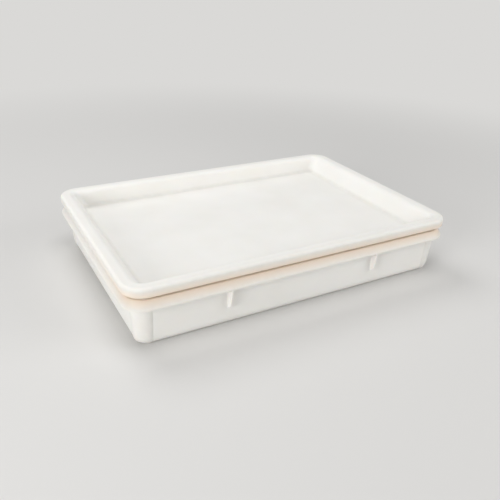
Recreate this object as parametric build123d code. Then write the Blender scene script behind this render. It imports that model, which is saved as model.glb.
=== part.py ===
from build123d import *
from math import atan2, cos, degrees, hypot, radians, sqrt, tan
import os

os.makedirs("parts", exist_ok=True)

# A dough box: a wide, shallow tub that pizza dough proves in, and a lift-off tray lid.
# Millimetres. X runs along the long side, Y along the short side, Z up from the ground.

# Flange round the tub, the widest part of the box
flange_length = 660.0
flange_width = 457.0
flange_corner = 39.0        # plan radius of the flange's corners
flange_top = 95.5           # height of the level ring that it starts from
flange_sheet = 3.0          # thickness of the turned-down flange
flange_bend = 3.0           # outside radius of its two bends
flange_slope_run = 9.0      # width of the slope between the level ring and the lip
flange_slope_drop = 12.7    # height of that slope
flange_lip = 3.8            # height of the upright lip below it
flange_lip_bevel = 0.8      # outer edge of the lip

# Walls and base of the tub
tub_wall = 3.2
foot_inset = 20.0           # from the flange outline to the wall, carried down to the ground
wall_draft = 3.3            # degrees
wall_top_bevel = 0.8        # on both top edges, which lead the lid on
base_round = 18.0           # outside radius where the wall turns into the base
post_radius = 18.4          # of the round corner posts, carried down to the ground
post_rise = 1.6             # how far they stand proud of the walls

# Gussets between the long walls and the flange
gusset_spacing = 303.0
gusset_thickness = 4.0
gusset_edge_inset = 2.2     # top of the free edge, from the flange outline
gusset_edge_round = 1.2
gusset_shoulder = 44.0      # height where the free edge turns in to the wall
gusset_shoulder_inset = 7.5
gusset_foot = 36.0          # height where it meets the wall

# Lid
rim_top = 119.5             # height over the closed lid
lid_setback = 0.8           # how much smaller the lid is than the flange, on each side
lid_sheet = 3.0
rim_bend = 5.8              # outside radius where the rim turns down
rim_lip = 17.0              # height of the turned-down lip
rim_lip_bevel = 1.8         # outer edge of the lip
rim_width = 23.7            # lid outline to the edge of the recess
recess_depth = 35.5
recess_end_run = 21.0       # how far the end walls of the recess lean in over its depth
recess_side_run = 3.0       # the same for its long walls
recess_corner = 15.0        # radius between its walls
recess_bend = 9.0           # radius where the rim turns into the recess
recess_floor_round = 9.0    # radius where the recess walls turn into its floor

draft_run = tan(radians(wall_draft))
flange_foot = flange_top - flange_slope_drop - flange_lip
tub_height = rim_top - lid_sheet
rim_foot = rim_top - rim_lip


def wall_inset(height):
    """Outer face of the tub's wall at a height, as an inset from the flange outline."""
    return foot_inset - height * draft_run


def outline(inset, height):
    """The flange outline, drawn in by an inset, at a height."""
    shape = RectangleRounded(
        flange_length - 2 * inset,
        flange_width - 2 * inset,
        flange_corner - inset,
    )
    return Plane.XY.offset(height) * shape


def at_height(edges, height):
    """Those of some edges that lie level at a height."""
    return edges.filter_by_position(Axis.Z, height - 0.01, height + 0.01)


def flange_form(skin):
    """The flange as a full block, drawn in by a skin from its lip, slope and top."""
    slope = atan2(flange_slope_run, flange_slope_drop)
    bend = flange_foot + flange_lip - skin * tan(slope / 2)
    top = flange_top - skin
    block = extrude(outline(skin, flange_foot), bend - flange_foot)
    block += extrude(outline(skin, bend), top - bend, taper=degrees(slope))
    bends = at_height(block.edges(), bend) + at_height(block.edges(), top)
    bend_radius = flange_bend - skin
    return fillet(bends, bend_radius) if bend_radius > 0 else block


def corner_post():
    """A round, drafted post with the same rounded foot as the walls, up to the flange."""
    post = extrude(Circle(post_radius), flange_top - flange_sheet / 2, taper=-wall_draft)
    return fillet(at_height(post.edges(), 0), base_round)


def gusset():
    """One gusset of the front wall, on the plane X = 0, let into the wall and the flange."""
    half_sheet = flange_sheet / 2
    half_wall = tub_wall / 2
    corners = (
        (gusset_edge_inset, flange_foot),
        (gusset_edge_inset, flange_top - flange_slope_drop),
        (flange_slope_run + half_sheet, flange_top - half_sheet),
        (wall_inset(flange_top) + half_wall, flange_top - half_sheet),
        (wall_inset(gusset_foot) + half_wall, gusset_foot),
        (wall_inset(gusset_foot), gusset_foot),
        (gusset_shoulder_inset, gusset_shoulder),
    )
    plane = Plane(origin=(0, -flange_width / 2, 0), x_dir=(0, 1, 0), z_dir=(1, 0, 0))
    face = plane * make_face(Polyline(*corners, close=True))
    plate = extrude(face, gusset_thickness / 2, both=True)
    lower_faces = plate.faces().filter_by(lambda side: side.normal_at().Z < -0.1)
    free_edges = lower_faces.sort_by(SortBy.AREA)[-1].edges().sort_by(SortBy.LENGTH)[-2:]
    return fillet(free_edges, gusset_edge_round)


def tub():
    """The tub: a drafted, round-footed shell with corner posts, its flange and four gussets."""
    walls = extrude(outline(foot_inset, 0), tub_height, taper=-wall_draft)
    walls = fillet(at_height(walls.edges(), 0), base_round)
    post = corner_post()
    axis_inset = foot_inset - post_rise + post_radius
    post_x = flange_length / 2 - axis_inset
    post_y = flange_width / 2 - axis_inset
    for x in (-post_x, post_x):
        for y in (-post_y, post_y):
            walls += Pos(x, y, 0) * post
    floor_inset = wall_inset(tub_wall) + tub_wall / cos(radians(wall_draft))
    inside = extrude(outline(floor_inset, tub_wall), tub_height - tub_wall, taper=-wall_draft)
    inside = fillet(at_height(inside.edges(), tub_wall), base_round - tub_wall)
    flange = flange_form(0)
    flange = chamfer(at_height(flange.edges(), flange_foot), flange_lip_bevel)
    under_flange = flange_form(flange_sheet) - walls
    body = walls + flange - under_flange - inside
    body = chamfer(at_height(body.edges(), tub_height), wall_top_bevel)
    plate = gusset()
    for side in (-1, 1):
        front_plate = Pos(side * gusset_spacing / 2, 0, 0) * plate
        body += front_plate
        body += mirror(front_plate, Plane.XZ)
    return body


def rim_block(skin):
    """The lid's rim as a full, square-edged block, drawn in by a skin from its lip and top."""
    return extrude(outline(lid_setback + skin, rim_foot), rim_lip - skin)


def recess_profile(span, run, skin):
    """Upright section of the recess across a span of the box, grown by a skin."""
    lean = run / recess_depth
    depth = recess_depth + skin
    half_top = span / 2 - lid_setback - rim_width + skin * hypot(1, lean)
    half_floor = half_top - lean * depth
    corners = (
        (-half_top, rim_top),
        (half_top, rim_top),
        (half_floor, rim_top - depth),
        (-half_floor, rim_top - depth),
    )
    return make_face(Polyline(*corners, close=True))


def recess(skin):
    """The recess as a solid, with a skin on its walls and floor."""
    along = Plane.XZ * recess_profile(flange_length, recess_end_run, skin)
    across = Plane.YZ * recess_profile(flange_width, recess_side_run, skin)
    form = extrude(along, flange_width, both=True) & extrude(across, flange_length, both=True)
    corner_edges = form.edges().group_by(Axis.Z)[1]
    form = fillet(corner_edges, recess_corner + skin)
    floor_edges = at_height(form.edges(), rim_top - recess_depth - skin)
    return fillet(floor_edges, recess_floor_round + skin)


def lid():
    """The lid: a rim with a turned-down lip, and the pan that hangs inside the tub."""
    pan = recess(lid_sheet)
    # The flat that touches the inner bend's arc keeps the sheet even with few facets.
    inner_bevel = (rim_bend - lid_sheet) * (2 - sqrt(2))
    under_rim = rim_block(lid_sheet)
    under_rim = chamfer(at_height(under_rim.edges(), rim_top - lid_sheet), inner_bevel) - pan
    channel_top = under_rim.faces().sort_by(Axis.Z)[-1]
    under_rim = fillet(channel_top.inner_wires()[0].edges(), recess_bend - lid_sheet)
    rim = rim_block(0)
    rim = fillet(at_height(rim.edges(), rim_top), rim_bend)
    rim = chamfer(at_height(rim.edges(), rim_foot), rim_lip_bevel)
    body = rim + pan - under_rim - recess(0)
    rim_face = body.faces().sort_by(Axis.Z)[-1]
    return fillet(rim_face.inner_wires()[0].edges(), recess_bend)


export_step(tub(), "parts/tub.step")
export_step(lid(), "parts/lid.step")
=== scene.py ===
from math import radians

import bmesh
import bpy
import numpy as np
from mathutils import Matrix, Vector


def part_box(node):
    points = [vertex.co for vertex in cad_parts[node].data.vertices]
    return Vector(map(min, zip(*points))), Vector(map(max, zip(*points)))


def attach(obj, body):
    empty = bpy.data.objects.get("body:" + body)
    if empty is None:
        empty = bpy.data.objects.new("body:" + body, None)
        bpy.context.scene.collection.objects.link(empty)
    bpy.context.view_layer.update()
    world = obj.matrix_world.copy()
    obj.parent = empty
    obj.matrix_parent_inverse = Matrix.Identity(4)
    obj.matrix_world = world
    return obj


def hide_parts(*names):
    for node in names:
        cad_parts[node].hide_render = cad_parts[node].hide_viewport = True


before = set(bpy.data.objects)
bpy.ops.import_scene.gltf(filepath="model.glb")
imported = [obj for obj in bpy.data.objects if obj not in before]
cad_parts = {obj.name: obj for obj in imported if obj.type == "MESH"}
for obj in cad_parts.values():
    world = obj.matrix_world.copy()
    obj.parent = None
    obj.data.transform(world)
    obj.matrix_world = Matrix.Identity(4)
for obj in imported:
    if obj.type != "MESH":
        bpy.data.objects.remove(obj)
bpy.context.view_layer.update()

# Tub: the open box that the dough lies in, injection-moulded in one shot of white polypropylene.
# Its walls lean out between round corner posts, and a turned-down flange runs round below the top.
# Four thin gussets under the flange, moulded with the rest, stiffen the long sides.

mm = 0.001
_, tub_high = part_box("tub")
half_length = tub_high.x
half_width = tub_high.y
tub_height = tub_high.z
flange_corner = 39.0 * mm           # plan radius of the flange's corners
flange_top = 95.5 * mm              # height of the level ring that the flange starts from
flange_sheet = 3.0 * mm
flange_bend = 3.0 * mm              # outside radius of its two bends
flange_slope_run = 9.0 * mm
flange_slope_drop = 12.7 * mm
flange_lip = 3.8 * mm
lip_edge_round = 1.0 * mm
tub_wall = 3.2 * mm
wall_top_round = 0.9 * mm
wall_draft = np.tan(radians(3.3))   # how far the walls lean out over a unit of height
foot_inset = 20.0 * mm              # from the flange's outline to the wall, carried down to the ground
base_round = 18.0 * mm              # where the walls turn into the base
corner_foot_round = 23.0 * mm       # the same on the diagonal of a corner
above_foot = 1.5 * mm               # the foot's section starts this far above its radius
inside_corner_round = 0.8 * mm
least_corner = 1.0 * mm             # plan radius that corners keep on the floor and the base
post_foot_radius = 18.8 * mm        # of the corner posts, carried down to the ground
post_rise = 1.4 * mm                # how far they stand proud of the walls
post_fade = 6.0 * mm                # height over which they grow out of the foot
post_axis_inset = foot_inset - post_rise + post_foot_radius
post_crease = 6.0 * mm              # from the end of a straight side to the crease beside the post
post_crease_end = 7.0 * mm          # where the painted shade in that crease ends
gusset_places = np.array((-151.5, 151.5)) * mm
gusset_edge_inset = 2.2 * mm        # top of the free edge, from the flange's outline
gusset_below_lip = 0.2 * mm         # from the lip's lower edge down to the top of the free edge
gusset_top_round = 0.3 * mm
gusset_shoulder = 44.0 * mm         # height where the free edge turns in to the wall
gusset_shoulder_inset = 7.5 * mm
gusset_shoulder_round = 3.0 * mm
gusset_foot = 36.0 * mm             # height where it meets the wall
gusset_foot_round = 2.0 * mm


def wall_inset(height):
    """Outer face of the leaning wall at a height, as an inset from the flange's outline: the inset at
    the ground, less the draft times the height."""
    return foot_inset - height * wall_draft


bend_steps = 8
bend_points = bend_steps + 3        # the points of an arc, with a holding point before and after
holding_gap = 0.5 * mm
holding_share = 0.3


def rounded_profile(corners, radii):
    """A polyline with its inner corners rounded. An arc of radius r turning by the angle a touches
    the two runs at r tan(a / 2) from the corner, and its points are start + r (sin b along the run
    + (1 - cos b) towards the turn) for b from 0 to a. A holding point on each run, just off the
    tangent point, keeps flat stretches flat in shading. On a short run it lies closer, at a share of
    what the arcs leave over."""
    corners = np.array(corners, float)
    radii = np.array(radii, float)
    runs = np.diff(corners, axis=0)
    lengths = np.linalg.norm(runs, axis=1)
    along = runs / lengths[:, None]
    cross = along[:-1, 0] * along[1:, 1] - along[:-1, 1] * along[1:, 0]
    turn = np.arctan2(cross, np.sum(along[:-1] * along[1:], axis=1))
    reach = radii * np.tan(np.abs(turn) / 2)
    left_over = lengths - np.append(reach, 0) - np.insert(reach, 0, 0)
    holds = np.minimum(holding_gap, holding_share * left_over)[:, None]
    inward = np.stack((-along[:-1, 1], along[:-1, 0]), axis=1) * np.sign(turn)[:, None]
    start = corners[1:-1] - along[:-1] * reach[:, None]
    end = corners[1:-1] + along[1:] * reach[:, None]
    angle = (np.abs(turn)[:, None] * np.linspace(0, 1, bend_steps + 1))[..., None]
    arc = np.sin(angle) * along[:-1, None] + (1 - np.cos(angle)) * inward[:, None]
    arc = start[:, None] + radii[:, None, None] * arc
    before = (start - holds[:-1] * along[:-1])[:, None]
    after = (end + holds[1:] * along[1:])[:, None]
    bends = np.concatenate((before, arc, after), axis=1).reshape(-1, 2)
    return np.concatenate((corners[:1], bends, corners[-1:]))


corner_steps = 14


def outline_columns(across_length, across_width):
    """The box's outline as columns, anticlockwise from the right-hand side: each has its place as a
    share of the way from the middle to the centre of a corner, and the outward direction there. On
    a side the place moves and the direction stays, and round a corner the direction turns by 90
    degrees and the place stays."""
    quarter = np.linspace(0, np.pi / 2, corner_steps + 1)
    sides = ((1, 0), (0, 1), (-1, 0), (0, -1))
    share = []
    outward = []
    for turn, (x, y) in enumerate(sides):
        steps = across_width if x else across_length
        run = np.stack((x - y * steps, y + x * steps), axis=1)
        corner = np.array((x - y, y + x), float)
        angle = quarter + turn * np.pi / 2
        share += [run, np.broadcast_to(corner, (quarter.size, 2))]
        outward += [np.broadcast_to((x, y), run.shape), np.stack((np.cos(angle), np.sin(angle)), axis=1)]
    return np.concatenate(share), np.concatenate(outward).astype(float)


def eased(share):
    """A share t from 0 to 1 that starts and ends level: 3t^2 - 2t^3."""
    return share ** 2 * (3 - 2 * share)


def moulded_skin(columns, end_inset, side_inset, corner, end_height, side_height, spread):
    """A section carried round the outline. At each station the ring is a rounded rectangle: the
    centres of its corners lie an inset and a corner radius inside the outline, and the skin lies one
    radius outside them. Round a corner the height passes from the end's section to the side's by the
    eased share of the turn, and spread draws the ring in towards the middle of a floor."""
    share, outward = columns
    centre_x = half_length - end_inset - corner
    centre_y = half_width - side_inset - corner
    x = spread * (share[:, 0] * centre_x + outward[:, 0] * corner)
    y = spread * (share[:, 1] * centre_y + outward[:, 1] * corner)
    turned = np.arctan2(np.abs(outward[:, 1]), np.abs(outward[:, 0])) / (np.pi / 2)
    z = end_height + (side_height - end_height) * eased(turned)
    return np.stack(np.broadcast_arrays(x, y, z), axis=-1)


weld_gap = 0.001 * mm


def closed_mesh(name, grid, marks):
    """An object from a grid of stations by columns that closes round the outline and at its two
    poles, where the points of a ring fall together and are welded. Marks are values per grid point,
    kept as attributes for the material."""
    stations, columns, _ = grid.shape
    index = np.arange(stations * columns).reshape(stations, columns)
    beside = np.roll(index, -1, axis=1)
    quads = np.stack((index[:-1], index[1:], beside[1:], beside[:-1]), axis=-1).reshape(-1, 4)
    mesh = bpy.data.meshes.new(name)
    mesh.from_pydata(grid.reshape(-1, 3), [], quads.tolist())
    for mark, values in marks.items():
        on_grid = np.broadcast_to(values, (stations, columns)).astype(np.float32)
        mesh.attributes.new(mark, "FLOAT", "POINT").data.foreach_set("value", on_grid.ravel())
    welded = bmesh.new()
    welded.from_mesh(mesh)
    bmesh.ops.remove_doubles(welded, verts=welded.verts, dist=weld_gap)
    welded.to_mesh(mesh)
    welded.free()
    mesh.polygons.foreach_set("use_smooth", np.ones(len(mesh.polygons), bool))
    piece = bpy.data.objects.new(name, mesh)
    bpy.context.scene.collection.objects.link(piece)
    return piece


slope_foot = flange_top - flange_slope_drop
lip_foot = slope_foot - flange_lip
slope = np.arctan2(flange_slope_run, flange_slope_drop)
under_lip = 0.6 * flange_sheet      # where the flange's underside takes over, in the lip's lower edge
under_top = flange_top - flange_sheet
under_slope_foot = slope_foot - flange_sheet * np.tan(slope / 2)
under_slope_top = flange_sheet + (under_top - under_slope_foot) * np.tan(slope)
inside_wall = tub_wall / np.cos(np.arctan(wall_draft))  # the wall's thickness, measured level
wall_below_flange = 2.0 * mm        # the wall's own stations start this far below the flange
wall_below_gusset = 6.0 * mm        # and end this far below the gussets
wall_stations = 34
wall_heights = np.linspace(under_top - wall_below_flange, gusset_foot - wall_below_gusset, wall_stations)

# The sections are lines of insets from the flange's outline, and heights. This one runs from the
# inside floor up the wall, over its top edge, and down the flange to its lip.
inside_section = rounded_profile(
    (
        (foot_inset + base_round, tub_wall),
        (wall_inset(tub_wall) + inside_wall, tub_wall),
        (wall_inset(tub_height) + inside_wall, tub_height),
        (wall_inset(tub_height), tub_height),
        (wall_inset(flange_top), flange_top),
        (flange_slope_run, flange_top),
        (0, slope_foot),
        (0, lip_foot),
        (flange_sheet / 2, lip_foot),
    ),
    (base_round - tub_wall, wall_top_round, wall_top_round, inside_corner_round,
     flange_bend, flange_bend, lip_edge_round),
)
under_flange_section = rounded_profile(
    (
        (under_lip, lip_foot),
        (flange_sheet, lip_foot),
        (flange_sheet, under_slope_foot),
        (under_slope_top, under_top),
        (wall_inset(under_top), under_top),
        (wall_inset(wall_heights[0]), wall_heights[0]),
    ),
    (inside_corner_round, inside_corner_round, inside_corner_round, inside_corner_round),
)
wall_section = np.stack((wall_inset(wall_heights), wall_heights), axis=1)[1:]


def foot(radius):
    """The section where the wall turns into the base: the leaning wall, an arc of the radius, and the
    level base."""
    top = radius + above_foot
    corners = ((wall_inset(top), top), (foot_inset, 0), (foot_inset + radius, 0))
    return rounded_profile(corners, (radius,))


foot_section = foot(base_round)
tub_section = np.concatenate((inside_section, under_flange_section, wall_section, foot_section))

# The free edge of a gusset. Points under the flange and on the wall move onto it.
gusset_edge = rounded_profile(
    (
        under_flange_section[0],
        (gusset_edge_inset, lip_foot - gusset_below_lip),
        (gusset_shoulder_inset, gusset_shoulder),
        (wall_inset(gusset_foot), gusset_foot),
        wall_section[-1],
    ),
    (gusset_top_round, gusset_shoulder_round, gusset_foot_round),
)


def distance_along(line):
    """How far along a line each of its points lies: the sum of the runs before it."""
    steps = np.linalg.norm(np.diff(line, axis=0), axis=1)
    return np.concatenate(((0,), np.cumsum(steps)))


channel_start = len(inside_section)
channel_end = channel_start + len(under_flange_section) + len(wall_section)
channel = tub_section[channel_start:channel_end]
along_channel = distance_along(channel)
along_edge = distance_along(gusset_edge)
channel_shares = along_channel / along_channel[-1]
edge_shares = along_edge / along_edge[-1]
edge_inset = np.interp(channel_shares, edge_shares, gusset_edge[:, 0])
edge_level = np.interp(channel_shares, edge_shares, gusset_edge[:, 1])
onto_gusset = np.zeros_like(tub_section)
onto_gusset[channel_start:channel_end] = np.stack((edge_inset, edge_level), axis=1) - channel

# Half of a gusset across its thickness: the distance from its middle, and how much of its full
# depth stands there. The edge and the roots are rounded, and the cheeks lean in a little.
gusset_half = np.array((0.0, 0.7, 1.3, 1.7, 1.9, 2.15, 2.3, 2.6, 3.2, 4.5)) * mm
gusset_depth = np.array((1.0, 1.0, 0.985, 0.95, 0.88, 0.12, 0.06, 0.02, 0.0, 0.0))

# Columns stand close together on the gussets and beside the posts, and far apart on plain walls. The
# plain ones are shares of the way to a corner, the others distances from a gusset or a corner.
corner_x = half_length - flange_corner
corner_y = half_width - flange_corner
gusset_columns = gusset_places[:, None] + np.concatenate((-gusset_half[:0:-1], gusset_half))
plain_columns = np.array((-0.9, -0.72, -0.3, 0.0, 0.3, 0.72, 0.9))
beside_post = np.array((1.2, 2.4, 3.4, 4.1, 4.6, 5.0, 5.3, 5.6, 5.9, 6.2, 6.5, 6.9, 8.0, 11.0)) * mm
post_columns_x = np.concatenate((beside_post / corner_x - 1, 1 - beside_post / corner_x))
post_columns_y = np.concatenate((beside_post / corner_y - 1, 1 - beside_post / corner_y))
length_columns = np.concatenate((gusset_columns.ravel() / corner_x, plain_columns, post_columns_x))
width_columns = np.concatenate((plain_columns, post_columns_y))
tub_columns = outline_columns(np.sort(length_columns), np.sort(width_columns))
tub_share, tub_outward = tub_columns

# The corners have a larger foot: most on the diagonal, fading out beside the post.
foot_at_arc_end = 0.25
from_corner = np.sum((1 - np.abs(tub_share)) * (corner_x, corner_y), axis=1)
diagonal = (2 * tub_outward[:, 0] * tub_outward[:, 1]) ** 2
at_corner = np.interp(from_corner, (0, post_crease), (foot_at_arc_end, 0.0))
at_corner = at_corner + (1 - foot_at_arc_end) * diagonal
onto_corner = np.zeros_like(tub_section)
onto_corner[-len(foot_section):] = foot(corner_foot_round) - foot_section

from_gusset = np.abs(tub_share[:, :1] * corner_x - gusset_places).min(axis=1)
on_long_side = np.abs(tub_outward[:, 1]) == 1
on_gusset = np.interp(from_gusset, gusset_half, gusset_depth) * on_long_side

# Rings that draw the flat ends of a section in to one point in the middle of a floor.
floor_spread = np.array((0.0, 0.3, 0.6, 0.85, 0.985))
rings = len(floor_spread)
around = ((rings, rings), (0, 0))
tub_spread = np.concatenate((floor_spread, np.ones(len(tub_section)), floor_spread[::-1]))[:, None]
tub_section = np.pad(tub_section, around, mode="edge")
corner_shift = np.pad(onto_corner, around, mode="edge")
gusset_shift = np.pad(onto_gusset, around)
tub_inset = tub_section[:, :1] + corner_shift[:, :1] * at_corner
tub_level = tub_section[:, 1:] + corner_shift[:, 1:] * at_corner
tub_side_inset = tub_inset + gusset_shift[:, :1] * on_gusset
tub_side_level = tub_level + gusset_shift[:, 1:] * on_gusset
tub_corner = np.maximum(flange_corner - tub_inset, least_corner)
tub_grid = moulded_skin(
    tub_columns, tub_inset, tub_side_inset, tub_corner, tub_level, tub_side_level, tub_spread
)


def post_stand(grid, outward, radius):
    """How far the round corner posts stand out of the walls. From a point p the outward direction d
    meets the circle of radius r round the post's axis c at t = sqrt(r^2 - q^2 + (q.d)^2) - q.d, where
    q = p - c. Where t falls below nothing the post dips into the wall, in a crease."""
    way = np.abs(grid[..., :2]) - (half_length - post_axis_inset, half_width - post_axis_inset)
    ahead = np.sum(way * np.abs(outward), axis=-1)
    room = radius ** 2 - np.sum(way ** 2, axis=-1) + ahead ** 2
    return np.maximum(np.sqrt(np.maximum(room, 0)) - ahead, 0)


# The posts stand out from the last bend under the flange down.
station = np.arange(len(tub_section))[:, None] - rings
last_bend = channel_start + len(under_flange_section) - 1 - bend_points
on_outer_wall = station >= last_bend
post_radius = np.maximum(post_axis_inset + post_rise - tub_inset, 0)
above_ground = eased(np.clip(tub_level / post_fade, 0, 1))
stand = on_outer_wall * above_ground * post_stand(tub_grid, tub_outward, post_radius)
tub_grid[..., :2] += stand[..., None] * tub_outward

least_front_share = 0.1
front_reach = 60.0 * mm


def toward_front(columns):
    """How strongly the painted warm light and painted shade lie on each column: l + (1 - l) e^-(d / r),
    where l is the least share, r its reach and d the distance back from the front corners."""
    share, _ = columns
    from_front = (1 + share[:, 1]) * corner_y
    return least_front_share + (1 - least_front_share) * np.exp(-from_front / front_reach)


# Painted warm light: the warm glow of light bounced and scattered in the gap under the lid is painted
# as a tint on both sides of the gap, on the flange most at the top of its slope, fading back from the
# front.
on_flange = (station < channel_start) & (tub_section[:, :1] < wall_inset(tub_height))
tub_gap_warmth = np.interp(tub_section[:, 1:], (slope_foot, flange_top), (0.1, 1.0))
tub_gap_warmth = np.where(on_flange, tub_gap_warmth, 0.0) * toward_front(tub_columns)


def bend(section):
    """How a section bends at each point, as one over the radius: the turn between the runs on both
    sides of the point, over their mean length. It is above 0 where the section bends outward."""
    runs = np.diff(section, axis=0)
    lengths = np.linalg.norm(runs, axis=1)
    cross = runs[:-1, 0] * runs[1:, 1] - runs[:-1, 1] * runs[1:, 0]
    turn = np.arcsin(np.clip(cross / (lengths[1:] * lengths[:-1]), -1, 1))
    return np.pad(turn / ((lengths[1:] + lengths[:-1]) / 2), 1)


worn_radius = 2.0 * mm              # bends as tight as this are worn all over
tub_edge = np.pad(np.clip(bend(tub_section[rings:-rings]) * worn_radius, 0, 1), rings)[:, None]

first_bend = (1, bend_points)       # its first and last point in a section
crease_width = 5.0 * mm


def in_crease(section, first, last):
    """How near each point of a section lies to the middle of the crease between two of its points:
    e^-(d / w)^2 of the distance d along the section, with the crease's width w."""
    along = distance_along(section)
    return np.exp(-((along - (along[first] + along[last]) / 2) / crease_width) ** 2)


# Painted shade: a faint grey darkening in the inside foot and on the posts, most in the crease beside
# each, and on the flange's lip and slope under the lid, fading back from the front. On a post it is a
# little weaker where the post turns away from both walls.
flank_power = 12
least_on_post = 0.8
inside_foot = np.pad(in_crease(tub_section[rings:-rings], *first_bend), rings)[:, None]
on_posts = np.interp(from_corner, (0, post_crease, post_crease_end), (0.5, 1.0, 0.0))
on_posts = on_posts * np.maximum(np.abs(tub_outward).max(axis=1) ** flank_power, least_on_post)
flange_painted_shade = np.interp(tub_section[:, 1:], (lip_foot, slope_foot, flange_top), (0.3, 0.9, 0.1))
flange_painted_shade = np.where(on_flange, flange_painted_shade, 0.0) * toward_front(tub_columns)
tub_painted_shade = inside_foot + on_outer_wall * above_ground * on_posts + flange_painted_shade
tub = closed_mesh("tub_shell", tub_grid, {"painted_gap_warmth": tub_gap_warmth, "edge": tub_edge, "painted_shade": tub_painted_shade})


def linear(hex_colour):
    """An sRGB hex colour as linear RGBA: c / 12.92 for values up to 0.04045, and above them
    ((c + 0.055) / 1.055)^2.4."""
    value = np.array([int(hex_colour[i:i + 2], 16) for i in (1, 3, 5)]) / 255
    value = np.where(value <= 0.04045, value / 12.92, ((value + 0.055) / 1.055) ** 2.4)
    return (*value.tolist(), 1.0)


def add_node(tree, kind, links=(), **settings):
    """Adds a shader node, sets its properties and inputs by name, and links inputs to outputs."""
    node = tree.nodes.new(kind)
    for name, value in settings.items():
        if hasattr(node, name):
            setattr(node, name, value)
        else:
            node.inputs[name.replace("_", " ")].default_value = value
    for name, socket in links:
        tree.links.new(node.inputs[name], socket)
    return node


cloud_size = 90.0 * mm
rub_size = 12.0 * mm
scratch_size = np.array((25.0, 1.8, 25.0)) * mm
scratch_turn = radians(24)
wave_size = 60.0 * mm
wave_height = 0.6 * mm
grain_size = 3.0 * mm
grain_height = 0.15 * mm


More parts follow.
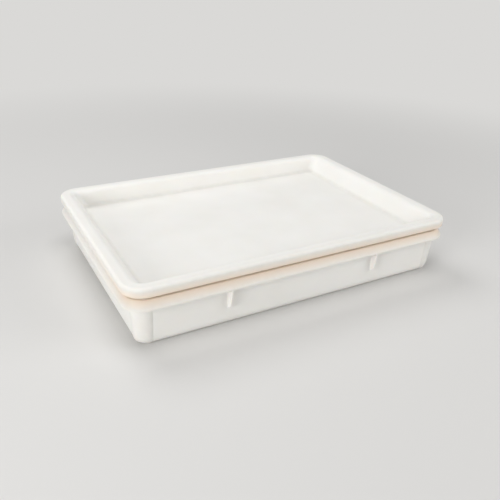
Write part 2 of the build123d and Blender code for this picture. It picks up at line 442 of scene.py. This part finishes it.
def moulded_polypropylene(name):
    """Injection-moulded polypropylene. Its milky body takes light a few millimetres in, so that thin
    edges and gaps look soft and warm, and the eroded mould leaves a fine satin grain on its skin. The
    gap's warm light and the shade in creases, on posts and under the lid's lip are also painted on."""
    material = bpy.data.materials.new(name)
    material.use_nodes = True
    tree = material.node_tree
    shader = tree.nodes["Principled BSDF"]
    place = add_node(tree, "ShaderNodeTexCoord").outputs["Object"]
    on_place = (("Vector", place),)
    # Marks from the mesh: painted warm light by the gap, worn bends, and painted shade.
    painted_gap_warmth = add_node(tree, "ShaderNodeAttribute", attribute_name="painted_gap_warmth").outputs["Fac"]
    edge = add_node(tree, "ShaderNodeAttribute", attribute_name="edge").outputs["Fac"]
    painted_shade = add_node(tree, "ShaderNodeAttribute", attribute_name="painted_shade").outputs["Fac"]

    # Melt that cooled at different rates: soft clouds about 90 mm across, a shade apart. In a colour
    # mix, inputs 6 and 7 are the two colours and output 2 is the result.
    clouds = add_node(tree, "ShaderNodeTexNoise", on_place, Scale=1 / cloud_size, Detail=2.0)
    cloud_range = (("Value", clouds.outputs["Fac"]),)
    cloudy = add_node(tree, "ShaderNodeMapRange", cloud_range, From_Min=0.3, From_Max=0.7)
    body = add_node(tree, "ShaderNodeMix", ((0, cloudy.outputs["Result"]),), data_type="RGBA")
    body.inputs[6].default_value = linear("#eeece7")
    body.inputs[7].default_value = linear("#f2f0ec")

    # Handling whitens and polishes the bends, unevenly, in patches about 12 mm long.
    rubs = add_node(tree, "ShaderNodeTexNoise", on_place, Scale=1 / rub_size, Detail=3.0)
    rub_range = (("Value", rubs.outputs["Fac"]),)
    rubbed = add_node(tree, "ShaderNodeMapRange", rub_range, From_Min=0.4, From_Max=0.7)
    rubbed_edge = ((0, edge), (1, rubbed.outputs["Result"]))
    worn = add_node(tree, "ShaderNodeMath", rubbed_edge, operation="MULTIPLY").outputs["Value"]
    handled = add_node(tree, "ShaderNodeMix", ((0, worn), (6, body.outputs[2])), data_type="RGBA")
    handled.inputs[7].default_value = linear("#f3f2ee")

    # Painted shade: creases, posts, the flange's slope and the lid's lip and rim are darkened to a grey,
    # in the same patches.
    patchy = add_node(tree, "ShaderNodeMapRange", rub_range, From_Min=0.3, From_Max=0.7, To_Min=0.6)
    patchy_painted_shade = ((0, painted_shade), (1, patchy.outputs["Result"]))
    painted_shade_amount = add_node(tree, "ShaderNodeMath", patchy_painted_shade, operation="MULTIPLY").outputs["Value"]
    painted_shade_colour = add_node(tree, "ShaderNodeMix", ((0, painted_shade_amount), (6, handled.outputs[2])), data_type="RGBA")
    painted_shade_colour.inputs[7].default_value = linear("#e2e0da")

    # Painted warm light: the plastic that faces the gap under the lid is tinted warm for the light
    # bounced in the gap.
    gap_warmth_colour = add_node(tree, "ShaderNodeMix", ((0, painted_gap_warmth), (6, painted_shade_colour.outputs[2])), data_type="RGBA")
    gap_warmth_colour.inputs[7].default_value = linear("#efdcc8")
    tree.links.new(shader.inputs["Base Color"], gap_warmth_colour.outputs[2])

    # Fine scratches from washing and stacking, 25 mm long, make the satin a little uneven. Real ones
    # are about a tenth of a millimetre wide and would not show, so they are drawn 1.8 mm wide.
    stretched = add_node(
        tree, "ShaderNodeMapping", on_place,
        Scale=tuple(1 / scratch_size), Rotation=(0.0, 0.0, scratch_turn),
    )
    on_scratches = (("Vector", stretched.outputs["Vector"]),)
    scratches = add_node(tree, "ShaderNodeTexNoise", on_scratches, Scale=1.0, Detail=3.0)
    satin_range = (("Value", scratches.outputs["Fac"]),)
    satin = add_node(
        tree, "ShaderNodeMapRange", satin_range,
        From_Min=0.35, From_Max=0.7, To_Min=0.5, To_Max=0.62,
    )
    polish_range = (("Value", worn), ("To Min", satin.outputs["Result"]))
    polish = add_node(tree, "ShaderNodeMapRange", polish_range, To_Max=0.48)
    tree.links.new(shader.inputs["Roughness"], polish.outputs["Result"])

    # The real grain is about 0.3 mm and would not show, so it is drawn ten times as coarse. Under it
    # lie the faint waves of a large moulding that shrank as it cooled.
    waves = add_node(tree, "ShaderNodeTexNoise", on_place, Scale=1 / wave_size, Detail=1.0)
    waved_height = (("Height", waves.outputs["Fac"]),)
    waved = add_node(tree, "ShaderNodeBump", waved_height, Strength=0.5, Distance=wave_height)
    grain = add_node(tree, "ShaderNodeTexNoise", on_place, Scale=1 / grain_size, Detail=2.0)
    grained_height = (("Height", grain.outputs["Fac"]), ("Normal", waved.outputs["Normal"]))
    grained = add_node(tree, "ShaderNodeBump", grained_height, Strength=0.15, Distance=grain_height)
    tree.links.new(shader.inputs["Normal"], grained.outputs["Normal"])

    # Red light goes deepest into the plastic, blue least.
    shader.inputs["IOR"].default_value = 1.49
    shader.inputs["Subsurface Weight"].default_value = 0.15
    shader.inputs["Subsurface Radius"].default_value = (1.0, 0.7, 0.45)
    shader.inputs["Subsurface Scale"].default_value = 5.0 * mm
    return material


tub.data.materials.append(moulded_polypropylene("white_polypropylene"))
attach(tub, "tub")
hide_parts("tub")

# Lid: a shallow tray in the same plastic, laid loose on the tub. Its rim lies on the top edge of the
# tub's walls and turns down outside them, and the pan of the tray hangs inside the tub.

_, lid_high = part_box("lid")
rim_top = lid_high.z
lid_setback = half_length - lid_high.x
lid_sheet = 3.0 * mm
rim_bend = 5.8 * mm                 # outside radius where the rim turns down
rim_lip = 17.0 * mm                 # height of the turned-down lip
rim_lip_round = 2.5 * mm
rim_lip_inner_round = 0.4 * mm
rim_width = 23.7 * mm               # from the lid's outline to the edge of the recess
recess_depth = 35.5 * mm
recess_end_run = 21.0 * mm          # how far the end walls of the recess lean in over its depth
recess_side_run = 3.0 * mm          # the same for its long walls
recess_bend = 9.0 * mm              # radius where the rim turns into the long walls
recess_floor_round = 9.0 * mm       # radius where these turn into the floor
recess_end_round = 15.0 * mm        # both radii of the end walls
floor_margin = 14.0 * mm            # flat floor that the section takes in

recess_edge = lid_setback + rim_width
lip_end = rim_top - rim_lip


def lid_section(run, top_round, floor_round):
    """The lid's section across one wall of the recess, from the recess floor over the rim, round
    the lip, and back under the rim and the pan. The pan's outside is its inside moved out by the
    sheet, at right angles to its wall."""
    lean = run / recess_depth
    floor_edge = recess_edge + run
    floor = rim_top - recess_depth
    outer_edge = recess_edge - lid_sheet * np.hypot(1, lean)
    under_rim = rim_top - lid_sheet
    under_floor = floor - lid_sheet
    corners = (
        (floor_edge + floor_margin, floor),
        (floor_edge, floor),
        (recess_edge, rim_top),
        (lid_setback, rim_top),
        (lid_setback, lip_end),
        (lid_setback + lid_sheet, lip_end),
        (lid_setback + lid_sheet, under_rim),
        (outer_edge + lean * lid_sheet, under_rim),
        (outer_edge + lean * (recess_depth + lid_sheet), under_floor),
        (floor_edge + floor_margin, under_floor),
    )
    radii = (
        floor_round, top_round, rim_bend, rim_lip_round, rim_lip_inner_round,
        rim_bend - lid_sheet, top_round - lid_sheet, floor_round + lid_sheet,
    )
    return rounded_profile(corners, radii)


end_section = lid_section(recess_end_run, recess_end_round, recess_end_round)
side_section = lid_section(recess_side_run, recess_bend, recess_floor_round)
lid_end_inset, lid_end_level = np.pad(end_section, around, mode="edge").T[..., None]
lid_side_inset, lid_side_level = np.pad(side_section, around, mode="edge").T[..., None]
lid_spread = np.concatenate((floor_spread, np.ones(len(end_section)), floor_spread[::-1]))[:, None]
# The corner's radius stays the same down the recess wall, whose lean draws the side in.
top_half = (np.arange(len(lid_spread)) < len(lid_spread) / 2)[:, None]
wall_top = np.where(top_half, recess_edge, recess_edge - lid_sheet)
lid_corner = flange_corner - lid_side_inset + np.clip(lid_side_inset - wall_top, 0, recess_side_run)
lid_columns = outline_columns(plain_columns, plain_columns)
lid_grid = moulded_skin(
    lid_columns, lid_end_inset, lid_side_inset, lid_corner, lid_end_level, lid_side_level, lid_spread
)

# Painted warm light on the lip by the gap, most at its lower edge. Painted shade on the lip and the
# rim near the front and at the foot of the recess walls.
gap_warmth_end = rim_top - 4.0 * mm
lip_shade_full = rim_top - 5.0 * mm
on_rim = lid_side_inset < wall_inset(tub_height)
lid_gap_warmth = np.interp(lid_side_level, (lip_end, gap_warmth_end), (0.9, 0.0))
lid_gap_warmth = np.where(on_rim, lid_gap_warmth, 0.0) * toward_front(lid_columns)
lid_edge = np.pad(np.clip(bend(side_section) * worn_radius, 0, 1), rings)[:, None]
lip_painted_shade = np.interp(lid_side_level, (lip_shade_full, rim_top), (0.9, 0.5))
lip_painted_shade = np.where(on_rim & top_half, lip_painted_shade, 0.0) * toward_front(lid_columns)
lid_painted_shade = np.pad(in_crease(side_section, *first_bend), rings)[:, None] + lip_painted_shade
lid = closed_mesh("lid_tray", lid_grid, {"painted_gap_warmth": lid_gap_warmth, "edge": lid_edge, "painted_shade": lid_painted_shade})
lid.data.materials.append(moulded_polypropylene("white_polypropylene_lid"))
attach(lid, "lid")
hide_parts("lid")

# Studio: a plain pale floor, large softboxes round the box, and a camera where the photograph's stood.
# The softboxes' places and powers were fitted to the brightness of the faces in the photograph.

floor_reach = 20.0                  # metres, as all lengths of the studio
floor_mesh = bpy.data.meshes.new("studio_floor")
floor_corners = np.array(((-1, -1, 0), (1, -1, 0), (1, 1, 0), (-1, 1, 0))) * floor_reach
floor_mesh.from_pydata(floor_corners.tolist(), [], [(0, 1, 2, 3)])
studio_floor = bpy.data.objects.new("studio_floor", floor_mesh)
bpy.context.scene.collection.objects.link(studio_floor)


def plainly_seen(tree):
    """1 for what is seen straight, in a reflection or through glass, and 0 for other light: the
    largest of the three kinds of ray."""
    path = add_node(tree, "ShaderNodeLightPath").outputs
    straight = ((0, path["Is Camera Ray"]), (1, path["Is Glossy Ray"]))
    mirrored = add_node(tree, "ShaderNodeMath", straight, operation="MAXIMUM").outputs["Value"]
    through = ((0, mirrored), (1, path["Is Transmission Ray"]))
    return add_node(tree, "ShaderNodeMath", through, operation="MAXIMUM").outputs["Value"]


# Matt paper, lit by the lamps near the box. Beyond their reach it would darken towards the horizon,
# so there it is seen in its plain colour instead. Near the box it keeps the shadow.
paper_colour = linear("#dad9d7")
lit_reach = 0.4
plain_reach = 1.9
paper = bpy.data.materials.new("pale_studio_paper")
paper.use_nodes = True
paper_tree = paper.node_tree
paper_shader = paper_tree.nodes["Principled BSDF"]
paper_shader.inputs["Base Color"].default_value = paper_colour
paper_shader.inputs["Roughness"].default_value = 0.9
on_floor = add_node(paper_tree, "ShaderNodeTexCoord").outputs["Object"]
away = add_node(paper_tree, "ShaderNodeVectorMath", ((0, on_floor),), operation="LENGTH")
far = add_node(
    paper_tree, "ShaderNodeMapRange", (("Value", away.outputs["Value"]),),
    interpolation_type="SMOOTHSTEP", From_Min=lit_reach, From_Max=plain_reach,
)
far_seen = ((0, far.outputs["Result"]), (1, plainly_seen(paper_tree)))
plain = add_node(paper_tree, "ShaderNodeMath", far_seen, operation="MULTIPLY")
glow = add_node(paper_tree, "ShaderNodeEmission", Color=paper_colour, Strength=1.0)
lit_or_plain = ((0, plain.outputs["Value"]), (1, paper_shader.outputs[0]), (2, glow.outputs[0]))
paper_mix = add_node(paper_tree, "ShaderNodeMixShader", lit_or_plain)
paper_tree.links.new(paper_tree.nodes["Material Output"].inputs["Surface"], paper_mix.outputs[0])
floor_mesh.materials.append(paper)

# The room gives a little light from all round, and is seen in the paper's colour.
room_light = 0.25
world = bpy.data.worlds.new("studio_room")
world.use_nodes = True
room_tree = world.node_tree
room = room_tree.nodes["Background"]
room.inputs["Color"].default_value = (1.0, 1.0, 1.0, 1.0)
room.inputs["Strength"].default_value = room_light
backdrop = add_node(room_tree, "ShaderNodeBackground", Color=paper_colour, Strength=1.0)
light_or_seen = ((0, plainly_seen(room_tree)), (1, room.outputs[0]), (2, backdrop.outputs[0]))
room_mix = add_node(room_tree, "ShaderNodeMixShader", light_or_seen)
room_tree.links.new(room_tree.nodes["World Output"].inputs["Surface"], room_mix.outputs[0])
bpy.context.scene.world = world

softbox_distance = 2.2
softbox_aim = Vector((0, 0, 100.0 * mm))


def softbox(name, azimuth, elevation, size, power):
    """A round area lamp that faces the box. Its azimuth a in degrees counts from the front, first to
    the right, and its elevation e from level, so that it stands towards (sin a cos e, -cos a cos e,
    sin e)."""
    level = np.cos(radians(elevation))
    x = np.sin(radians(azimuth)) * level
    y = -np.cos(radians(azimuth)) * level
    toward = Vector((x, y, np.sin(radians(elevation))))
    lamp = bpy.data.lights.new(name, "AREA")
    lamp.shape = "DISK"
    lamp.size = size
    lamp.energy = power
    box = bpy.data.objects.new(name, lamp)
    box.location = softbox_aim + toward * softbox_distance
    box.rotation_euler = toward.to_track_quat("Z", "Y").to_euler()
    bpy.context.scene.collection.objects.link(box)


softbox("left_softbox", azimuth=297, elevation=15, size=1.0, power=22.0)
softbox("right_softbox", azimuth=46, elevation=22, size=1.6, power=17.0)
softbox("back_softbox", azimuth=205, elevation=55, size=1.4, power=17.0)
softbox("top_softbox", azimuth=0, elevation=80, size=1.2, power=12.4)

camera_place = Vector((-528.5, -936.2, 564.5)) * mm
camera_yaw = radians(29.73)
camera_pitch = radians(27.08)
camera_roll = radians(-2.16)
focal_length_px = 575.8
picture_px = 500
sensor_width = 36.0

camera_lens = bpy.data.cameras.new("camera")
camera_lens.sensor_width = sensor_width
camera_lens.lens = focal_length_px / picture_px * sensor_width
camera = bpy.data.objects.new("camera", camera_lens)
turn = Matrix.Rotation(-camera_yaw, 4, "Z")
turn = turn @ Matrix.Rotation(radians(90) - camera_pitch, 4, "X")
turn = turn @ Matrix.Rotation(-camera_roll, 4, "Z")
camera.matrix_world = Matrix.Translation(camera_place) @ turn
bpy.context.scene.collection.objects.link(camera)
bpy.context.scene.camera = camera
bpy.context.scene.view_settings.view_transform = "Standard"
